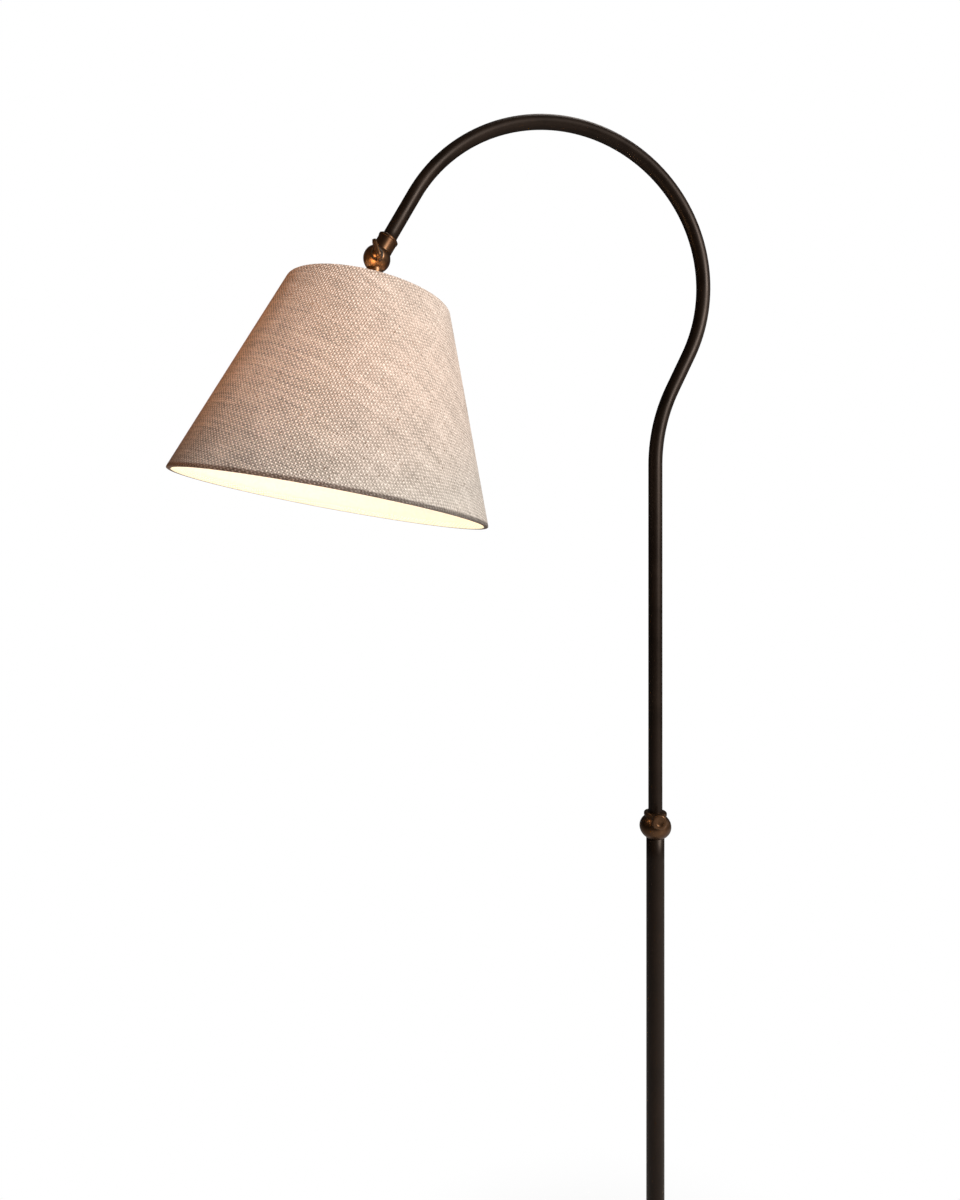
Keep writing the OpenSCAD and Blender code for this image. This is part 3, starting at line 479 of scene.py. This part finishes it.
def litLiner():
    mat, nodes, links, shader = startMaterial("litLiner")
    place = objectPlace(nodes)
    grain = noise(nodes, links, place, 260, 3, 0.5)
    links.new(ramp(nodes, links, grain, [(0.3, (0.8, 0.74, 0.66)), (0.7, (0.86, 0.8, 0.72))]),
              shader.inputs["Base Color"])
    shader.inputs["Roughness"].default_value = 0.55
    shader.inputs["Emission Color"].default_value = (*inside["linerColour"], 1)
    shader.inputs["Emission Strength"].default_value = inside["linerGlow"]
    bump(nodes, links, shader, grain, 0.1, 0.0001)
    return mat


def lampGlass():
    mat, nodes, links, shader = startMaterial("lampGlass")
    place = objectPlace(nodes)
    ripple = noise(nodes, links, place, 40, 2, 0.5)
    shader.inputs["Base Color"].default_value = (1.0, 0.97, 0.92, 1)
    shader.inputs["Roughness"].default_value = 0.12
    shader.inputs["Transmission Weight"].default_value = 0.6
    shader.inputs["Emission Color"].default_value = (*inside["glassColour"], 1)
    shader.inputs["Emission Strength"].default_value = inside["glassGlow"]
    bump(nodes, links, shader, ripple, 0.05, 0.0002)
    return mat


def glowing(name, colour, strength):
    mat, nodes, links, shader = startMaterial(name)
    place = objectPlace(nodes)
    mottle = noise(nodes, links, place, 500, 2, 0.5)
    links.new(ramp(nodes, links, mottle, [(0.2, tuple(c * 0.9 for c in colour)), (0.8, colour)]),
              shader.inputs["Base Color"])
    shader.inputs["Emission Color"].default_value = (*colour, 1)
    shader.inputs["Emission Strength"].default_value = strength
    return mat


finish = {
    "bronze_paint": bronzePaint(),
    "antique_brass": agedBrass(),
    "bare_brass": agedBrass("bareBrass", 4.0),
    "steel": simpleFinish("bronzedSteel", (0.1, 0.078, 0.06), (0.19, 0.155, 0.125), 0.4, 1.0, 300),
    "nickel": simpleFinish("rolledNickel", (0.55, 0.54, 0.5), (0.72, 0.7, 0.66), 0.28, 1.0, 200),
    "cast_iron": simpleFinish("castIron", (0.03, 0.03, 0.032), (0.09, 0.09, 0.092), 0.75, 0.3, 260, 0.0006),
    "felt": simpleFinish("woolFelt", (0.012, 0.012, 0.012), (0.04, 0.04, 0.04), 0.98, 0.0, 700, 0.0008),
    "rubber": simpleFinish("inletRubber", (0.008, 0.008, 0.008), (0.02, 0.02, 0.02), 0.7, 0.0, 200),
    "nylon": simpleFinish("guideNylon", (0.62, 0.6, 0.54), (0.75, 0.73, 0.66), 0.45, 0.0, 150),
    "fibre": simpleFinish("vulcanFibre", (0.14, 0.035, 0.02), (0.22, 0.06, 0.035), 0.7, 0.0, 400),
    "porcelain": simpleFinish("glazedPorcelain", (0.74, 0.7, 0.62), (0.82, 0.79, 0.72), 0.18, 0.0, 90,
                              coat=0.3),
    "black_plastic": simpleFinish("phenolic", (0.01, 0.008, 0.007), (0.022, 0.018, 0.016), 0.28, 0.0, 120),
    "white_wire": simpleFinish("creamEnamel", (0.66, 0.6, 0.48), (0.78, 0.72, 0.6), 0.35, 0.0, 150),
    "liner": litLiner(),
    "linen": linenCloth(),
    "bulb_glass": lampGlass(),
    "filament": glowing("filamentCoat", (1.0, 0.75, 0.4), 6.0),
}
print("materials made:", len(finish))


def makeObject(name, bm, body, slotName, replaced=(), sharp=35):
    for face in bm.faces:
        face.smooth = True
    for edge in bm.edges:
        if len(edge.link_faces) == 2 and edge.calc_face_angle(0) > radians(sharp):
            edge.smooth = False
    mesh = bpy.data.meshes.new(name)
    bm.to_mesh(mesh)
    bm.free()
    mesh.materials.append(finish[slotName])
    obj = bpy.data.objects.new(name, mesh)
    bpy.context.scene.collection.objects.link(obj)
    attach(obj, body)
    if replaced:
        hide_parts(*replaced)
    return obj


def spun(profile, steps=96, closed=False):
    # profile: (radius, height) points; the ends close on the axis, or on each other where closed
    bm = bmesh.new()
    verts = [bm.verts.new((r, 0, z)) for r, z in profile]
    edges = [bm.edges.new(pair) for pair in zip(verts, verts[1:])]
    if closed:
        edges.append(bm.edges.new((verts[-1], verts[0])))
    bmesh.ops.spin(bm, geom=verts + edges, cent=(0, 0, 0), axis=(0, 0, 1), angle=2 * pi,
                   steps=steps, use_merge=True, use_duplicate=False)
    bmesh.ops.remove_doubles(bm, verts=bm.verts, dist=2e-6)
    bmesh.ops.recalc_face_normals(bm, faces=bm.faces)
    return bm


def rounded(points, radius, segments=4):
    # rounds the inner corners of an open profile
    out = [points[0]]
    for before, here, after in zip(points, points[1:], points[2:]):
        p, h, n = Vector(before), Vector(here), Vector(after)
        into, away = (h - p), (n - h)
        turn = into.angle(away, 0)
        if turn < radians(8):
            out.append(here)
            continue
        cut = min(radius, into.length * 0.45, away.length * 0.45)
        start, end = h - into.normalized() * cut, h + away.normalized() * cut
        for i in range(segments + 1):
            t = i / segments
            out.append(tuple((1 - t) ** 2 * start + 2 * t * (1 - t) * h + t ** 2 * end))
    out.append(points[-1])
    return out


def arc(cr, cz, r, a, b, n=12):
    return [(cr + r * cos(radians(a + (b - a) * i / n)), cz + r * sin(radians(a + (b - a) * i / n)))
            for i in range(n + 1)]


def scaled(points, k=mm):
    return [(x * k, y * k) for x, y in points]


def weldedCopy(node, slotName):
    # a CAD node whose shape is right: its triangles welded and smoothed
    source = frame["nodes"][node]
    bm = bmesh.new()
    bm.from_mesh(source.data)
    bmesh.ops.remove_doubles(bm, verts=bm.verts, dist=1e-6)
    words = node.split("_")
    title = words[0] + "".join(w.capitalize() for w in words[1:])
    return makeObject(title, bm, source["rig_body"], slotName, (node,), sharp=32)


tube = {"armR": 7 * mm, "armWall": 1.2 * mm, "lowerR": 9 * mm, "lowerWall": 1.2 * mm, "sides": 40}
armPath = {"foot": 0.49, "bendZ": 1.065, "swayR": 0.175, "swayA": 26.1, "lean": 0.039,
           "crookR": 0.157, "crookA": 176.8, "drop": 0.074, "stop": 0.015}


def hollow(obj, wall):
    mod = obj.modifiers.new("wall", "SOLIDIFY")
    mod.thickness = wall
    mod.offset = -1
    return obj


def bentTube():
    # one circle, pulled straight and spun round each bend in turn
    bm = bmesh.new()
    made = bmesh.ops.create_circle(bm, cap_ends=False, radius=tube["armR"], segments=tube["sides"],
                                   matrix=Matrix.Translation((0, 0, armPath["foot"])))
    edges = list({e for v in made["verts"] for e in v.link_edges})
    place = Vector((0, 0, armPath["foot"]))
    heading = 0.0

    def pull(length, steps):
        nonlocal edges, place
        way = Vector((sin(heading), 0, cos(heading)))
        for i in range(steps):
            grown = bmesh.ops.extrude_edge_only(bm, edges=edges)["geom"]
            verts = [g for g in grown if isinstance(g, bmesh.types.BMVert)]
            edges = [g for g in grown if isinstance(g, bmesh.types.BMEdge)
                     and all(v in verts for v in g.verts)]
            bmesh.ops.translate(bm, verts=verts, vec=way * length / steps)
        place = place + way * length

    def turn(radius, angle, steps):
        # a positive angle turns towards +X
        nonlocal edges, place, heading
        side = 1 if angle > 0 else -1
        centre = place + side * radius * Vector((cos(heading), 0, -sin(heading)))
        last = bmesh.ops.spin(bm, geom=edges, cent=centre, axis=(0, 1, 0), angle=angle,
                              steps=steps, use_duplicate=False)["geom_last"]
        edges = [g for g in last if isinstance(g, bmesh.types.BMEdge)]
        place = centre + Matrix.Rotation(angle, 3, "Y") @ (place - centre)
        heading += angle

    pull(armPath["bendZ"] - armPath["foot"], 24)
    turn(armPath["swayR"], radians(armPath["swayA"]), 14)
    pull(armPath["lean"], 3)
    turn(armPath["crookR"], -radians(armPath["crookA"]), 84)
    pull(armPath["drop"] - armPath["stop"], 4)
    bmesh.ops.remove_doubles(bm, verts=bm.verts, dist=1e-7)
    bmesh.ops.recalc_face_normals(bm, faces=bm.faces)
    return hollow(makeObject("armTube", bm, "arm", "bronze_paint", ("arm_tube",)), tube["armWall"])


def straightTube():
    low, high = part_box("lower_tube")
    bm = spun([(tube["lowerR"], low.z + (high.z - low.z) * i / 20) for i in range(21)], tube["sides"])
    return hollow(makeObject("lowerTube", bm, "stand", "bronze_paint", ("lower_tube",)), tube["lowerWall"])


bentTube()
straightTube()
print("tubes made")


shank = {"r": 2.5, "tipR": 1.9, "tipAt": 9.4, "taper": 0.6}  # of both screws
collar = {"ballR": 15.75, "knobR": 7.5, "knobT": 4.2, "neckR": 3.4, "neckL": 2.2, "flutes": 28,
          "knurl": 0.035, "knurlBand": 0.45}


def screwFrame(at, axis):
    return Matrix.Translation(at) @ axis.to_track_quat("Z", "Y").to_matrix().to_4x4()


def collarKnob():
    seat = collar["ballR"] + 1
    top = seat + collar["knobT"]
    tip, neck = shank["tipAt"], seat - collar["neckL"]
    side = [(0, tip), (shank["tipR"], tip), (shank["r"], tip + shank["taper"]), (shank["r"], neck)]
    side += [(collar["neckR"], neck)]
    side += [(collar["neckR"], seat)]
    side += rounded([(collar["neckR"], seat), (collar["knobR"] - 0.5, seat), (collar["knobR"], seat + 0.7),
                     (collar["knobR"], top - 0.9), (collar["knobR"] - 0.9, top), (4.2, top + 0.1)], 0.35)[1:]
    side += [(3.5, top - 0.15), (2.8, top - 0.55), (1.4, top - 0.7), (0, top - 0.72)]
    bm = spun(scaled(side), collar["flutes"] * 6)
    for vert in bm.verts:  # the knurled edge
        radius = hypot(vert.co.x, vert.co.y)
        if radius > (collar["knobR"] - collar["knurlBand"]) * mm:
            wave = abs(sin(atan2(vert.co.y, vert.co.x) * collar["flutes"] / 2))
            vert.co.xy *= 1 - collar["knurl"] * (1 - wave) ** 2
    bmesh.ops.transform(bm, matrix=screwFrame(collarScrewAt, collarAxis), verts=bm.verts)
    return makeObject("collarKnob", bm, "clamp_screw", "antique_brass", ("collar_thumbscrew",), sharp=60)


weldedCopy("collar_ball", "antique_brass")  # it has the hole that the screw and its pad move in
collarKnob()
print("collar made")


wing = {"width": 19.5, "length": 13, "thick": 3.5, "lean": 17, "round": 4.5, "seat": 12.5, "shoulder": 2,
        "collarR": 4.5, "edge": 0.7}


def wingOutline(inset=0.0):
    w, l, r = wing["width"] / 2 - inset, wing["length"] - inset, wing["round"]
    points = []
    for cx, cz, a in ((w - r, l - r, 0), (-w + r, l - r, 90), (-w + r, r, 180), (w - r, r, 270)):
        points += arc(cx, cz, r, a, a + 90, 8)
    return points


def swivelWing():
    base = wing["seat"] + wing["shoulder"]
    tip, collarR = -shank["tipAt"], wing["collarR"]
    side = [(0, tip), (shank["tipR"], tip), (shank["r"], tip + shank["taper"])]
    side += [(shank["r"], wing["seat"] - 0.2), (collarR, wing["seat"]), (collarR, base - 0.4)]
    side += [(collarR - 0.4, base), (2.6, base + 1.2), (0, base + 1.2)]
    bm = spun(scaled(side), 48)
    plate = bmesh.new()
    face = plate.faces.new([plate.verts.new((x * mm, -wing["thick"] / 2 * mm, (base - 0.2 + z) * mm))
                            for x, z in wingOutline()])
    pulled = bmesh.ops.extrude_face_region(plate, geom=[face])["geom"]
    verts = [g for g in pulled if isinstance(g, bmesh.types.BMVert)]
    bmesh.ops.translate(plate, verts=verts, vec=(0, wing["thick"] * mm, 0))
    rim = [e for e in plate.edges if abs(e.verts[0].co.y - e.verts[1].co.y) < 1e-9]
    bmesh.ops.bevel(plate, geom=rim, offset=wing["edge"] * mm, segments=3, profile=0.5,
                    affect="EDGES", material=-1)
    bmesh.ops.recalc_face_normals(plate, faces=plate.faces)
    spare = bpy.data.meshes.new("wingPlate")
    plate.to_mesh(spare)
    plate.free()
    bm.from_mesh(spare)
    bpy.data.meshes.remove(spare)
    # the plate's width runs up and a little to the shade's side
    turned = (Matrix.Translation(swivelAt) @ Matrix.Rotation(radians(90), 4, "X")
              @ Matrix.Rotation(radians(90 + wing["lean"]), 4, "Z"))
    bmesh.ops.transform(bm, matrix=turned, verts=bm.verts)
    return makeObject("swivelWing", bm, "tilt_screw", "antique_brass", ("swivel_thumbscrew",), sharp=50)


swivelWing()
for node in ("swivel_socket", "swivel_half"):
    weldedCopy(node, "antique_brass")
print("swivel made")


base = {"r": 127, "cover": 1.2, "crownZ": 38, "crownR": 24, "ledgeZ": 20, "shoulder": 8, "ledgeW": 11,
        "bead": 2.5, "lift": 1.2, "hole": 5.2}


def baseCover():
    r, ledge, crown = base["r"], base["ledgeZ"], base["crownR"]
    ogee = r - base["shoulder"] - base["ledgeW"] - 2 * base["bead"]
    shoulder = base["shoulder"]
    side = [(r, base["lift"])] + arc(r - shoulder, ledge - shoulder, shoulder, 0, 90, 14)
    side += arc(ogee + base["bead"], ledge, base["bead"], 0, 180, 12)
    for i in range(1, 41):
        t = i / 40
        side.append((ogee - (ogee - crown) * t, ledge + (base["crownZ"] - ledge) * (1 - cos(pi * t)) / 2))
    side.append((base["hole"], base["crownZ"]))
    bm = spun(scaled(side), 160)
    obj = makeObject("baseCover", bm, "stand", "bronze_paint", ("base_cover",), sharp=50)
    return hollow(obj, base["cover"] * mm)


baseCover()
weldedCopy("foot_ring", "antique_brass")
print("base made")


shade = {"rimS": 40.5, "height": 195.5, "topR": 78.5, "bottomR": 150, "linen": 0.8, "liner": 0.5,
         "ring": 3.0, "lap": 0.1, "turnIn": 4.0, "fold": 2.3, "foldBand": 3.2, "foldSoft": 1.2,
         "foldRows": (3.4, 2.6, 2.0),  # above the hem, where the fold's painted shade sets in
         "flat": (0.786, 0.348), "grainAt": 205, "seamAt": 90, "steps": 240, "rows": 24}
shadeSlope = (shade["bottomR"] - shade["topR"]) / shade["height"]
shadeLean = hypot(1, shadeSlope)
hemS = shade["rimS"] + shade["height"]


def shadeR(s, inward=0.0):
    return shade["topR"] + (s - shade["rimS"]) * shadeSlope - inward * shadeLean


def layClothMap(bm):
    # UV in metres on the unrolled cone, straight with the grain where the shade faces `grainAt`
    layer = bm.loops.layers.uv.new("cloth")
    half = shadeSlope / shadeLean
    apex = shade["topR"] / half * mm
    top = shade["rimS"] * mm
    for face in bm.faces:
        middle = face.calc_center_median()
        mid = (degrees(atan2(middle.y, middle.x)) - shade["seamAt"]) % 360
        for loop in face.loops:
            co = loop.vert.co
            here = (degrees(atan2(co.y, co.x)) - shade["seamAt"]) % 360
            if here - mid > 180:
                here -= 360
            if mid - here > 180:
                here += 360
            turnA = radians(here + shade["seamAt"] - shade["grainAt"]) * half
            reach = apex + (-co.z - top) * shadeLean
            loop[layer].uv = (reach * sin(turnA), reach * cos(turnA))


def markEdges(bm):
    # the hem mask is 1 where the linen turns under the hem, and the cloth gets painted shade there
    # litEdge is 1 on the side of the turn-in that faces the bulb
    fold = bm.verts.layers.float.new("hemFold")
    lit = bm.verts.layers.float.new("litEdge")
    for vert in bm.verts:
        at = -vert.co.z / mm
        depth = (shadeR(at) - hypot(vert.co.x, vert.co.y) / mm) / shadeLean
        inside = depth > shade["linen"] + shade["liner"] + shade["ring"]
        vert[fold] = 0 if inside else min(1, max(0, (at - hemS + shade["foldBand"]) / shade["foldSoft"]))
        vert[lit] = 1 if inside else 0


def clothPiece(name, side, slotName, node, sharp):
    bm = spun([(r * mm, -at * mm) for r, at in side], shade["steps"], closed=True)
    layClothMap(bm)
    markEdges(bm)
    bmesh.ops.transform(bm, matrix=lampFrame, verts=bm.verts)
    return makeObject(name, bm, "lamp", slotName, (node,), sharp=sharp)


def cornerOf(a, b, c, cut, n=5):
    a, b, c = Vector(a), Vector(b), Vector(c)
    p, q = b + (a - b).normalized() * cut, b + (c - b).normalized() * cut
    return [tuple((1 - t) ** 2 * p + 2 * t * (1 - t) * b + t * t * q) for t in (i / n for i in range(n + 1))]


def rows(sFrom, sTo, inward):
    return [(shadeR(at, inward), at) for at in
            (sFrom + (sTo - sFrom) * i / shade["rows"] for i in range(1, shade["rows"]))]


def shadeCloth():
    # the linen goes round the outside and is turned in over the liner and both rings
    thick, lap, turn = shade["linen"], shade["lap"], shade["turnIn"]
    legOut = thick + shade["liner"] + shade["ring"] + 2 * lap
    legIn = legOut + thick
    rim, top, low = shade["rimS"], shade["rimS"] - lap, hemS + lap
    wave = [(shadeR(at, deep), at) for at, deep in
            ((rim + turn, legIn), (top - thick, legIn), (top - thick, 0), (low + thick, 0),
             (low + thick, legIn), (hemS - turn, legIn))]
    out = [cornerOf(wave[i - 1], wave[i], wave[i + 1], shade["fold"]) for i in range(1, 5)]
    side = [wave[0]] + out[0] + out[1] + rows(rim + 2, hemS - 3, 0)
    side += [(shadeR(hemS - up), hemS - up) for up in shade["foldRows"]] + out[2] + out[3] + [wave[5]]
    side += [(shadeR(hemS - turn, legOut), hemS - turn)]
    side += [(shadeR(low, legOut), low), (shadeR(low, thick), low)]
    side += rows(hemS, rim, thick)
    side += [(shadeR(top, thick), top), (shadeR(top, legOut), top), (shadeR(rim + turn, legOut), rim + turn)]
    linenWall = clothPiece("shadeLinen", side, "linen", "shade_linen", 75)
    inner = shade["linen"] + shade["liner"]
    liner = [(shadeR(rim, thick), rim)] + rows(rim, hemS, thick) + [(shadeR(hemS, thick), hemS)]
    liner += [(shadeR(hemS, inner), hemS)] + rows(hemS, rim, inner) + [(shadeR(rim, inner), rim)]
    clothPiece("shadeLiner", liner, "liner", "shade_liner", 75)
    slant = (shade["height"] + 2 * (thick + lap)) * shadeLean
    reach = slant + 2 * (shade["ring"] + shade["liner"] + 2 * lap + turn)
    area = 2 * pi * (shade["topR"] + shade["bottomR"]) / 2 * reach * mm * mm
    return area


print("shade made, linen area", round(shadeCloth(), 4))


for lampName, values in bulbLights.items():
    warmLamp(lampName, **values)
slots = {row["node"]: row["material_slot"] for row in frame["record"]["subparts"]}
smoothedNodes = ("shade_carrier", "shade_bottom_ring", "holder_cap", "holder_sleeve", "holder_nut",
                 "shade_ring_nut", "switch_knob", "switch_shaft", "bulb_glass", "bulb_cap", "bulb_stem",
                 "bulb_filaments", "holder_insulator", "screw_socket", "swivel_washer", "friction_ring",
                 "cord_bush", "base_felt", "base_weight", "swivel_arm_screw", "collar_pad",
                 "holder_nipple", "base_nut", "base_washer", "base_nipple")
for node in smoothedNodes:
    weldedCopy(node, slots[node])
for node, obj in frame["nodes"].items():
    obj.data.materials.clear()
    obj.data.materials.append(finish[slots[node]])
print("inner pieces finished")
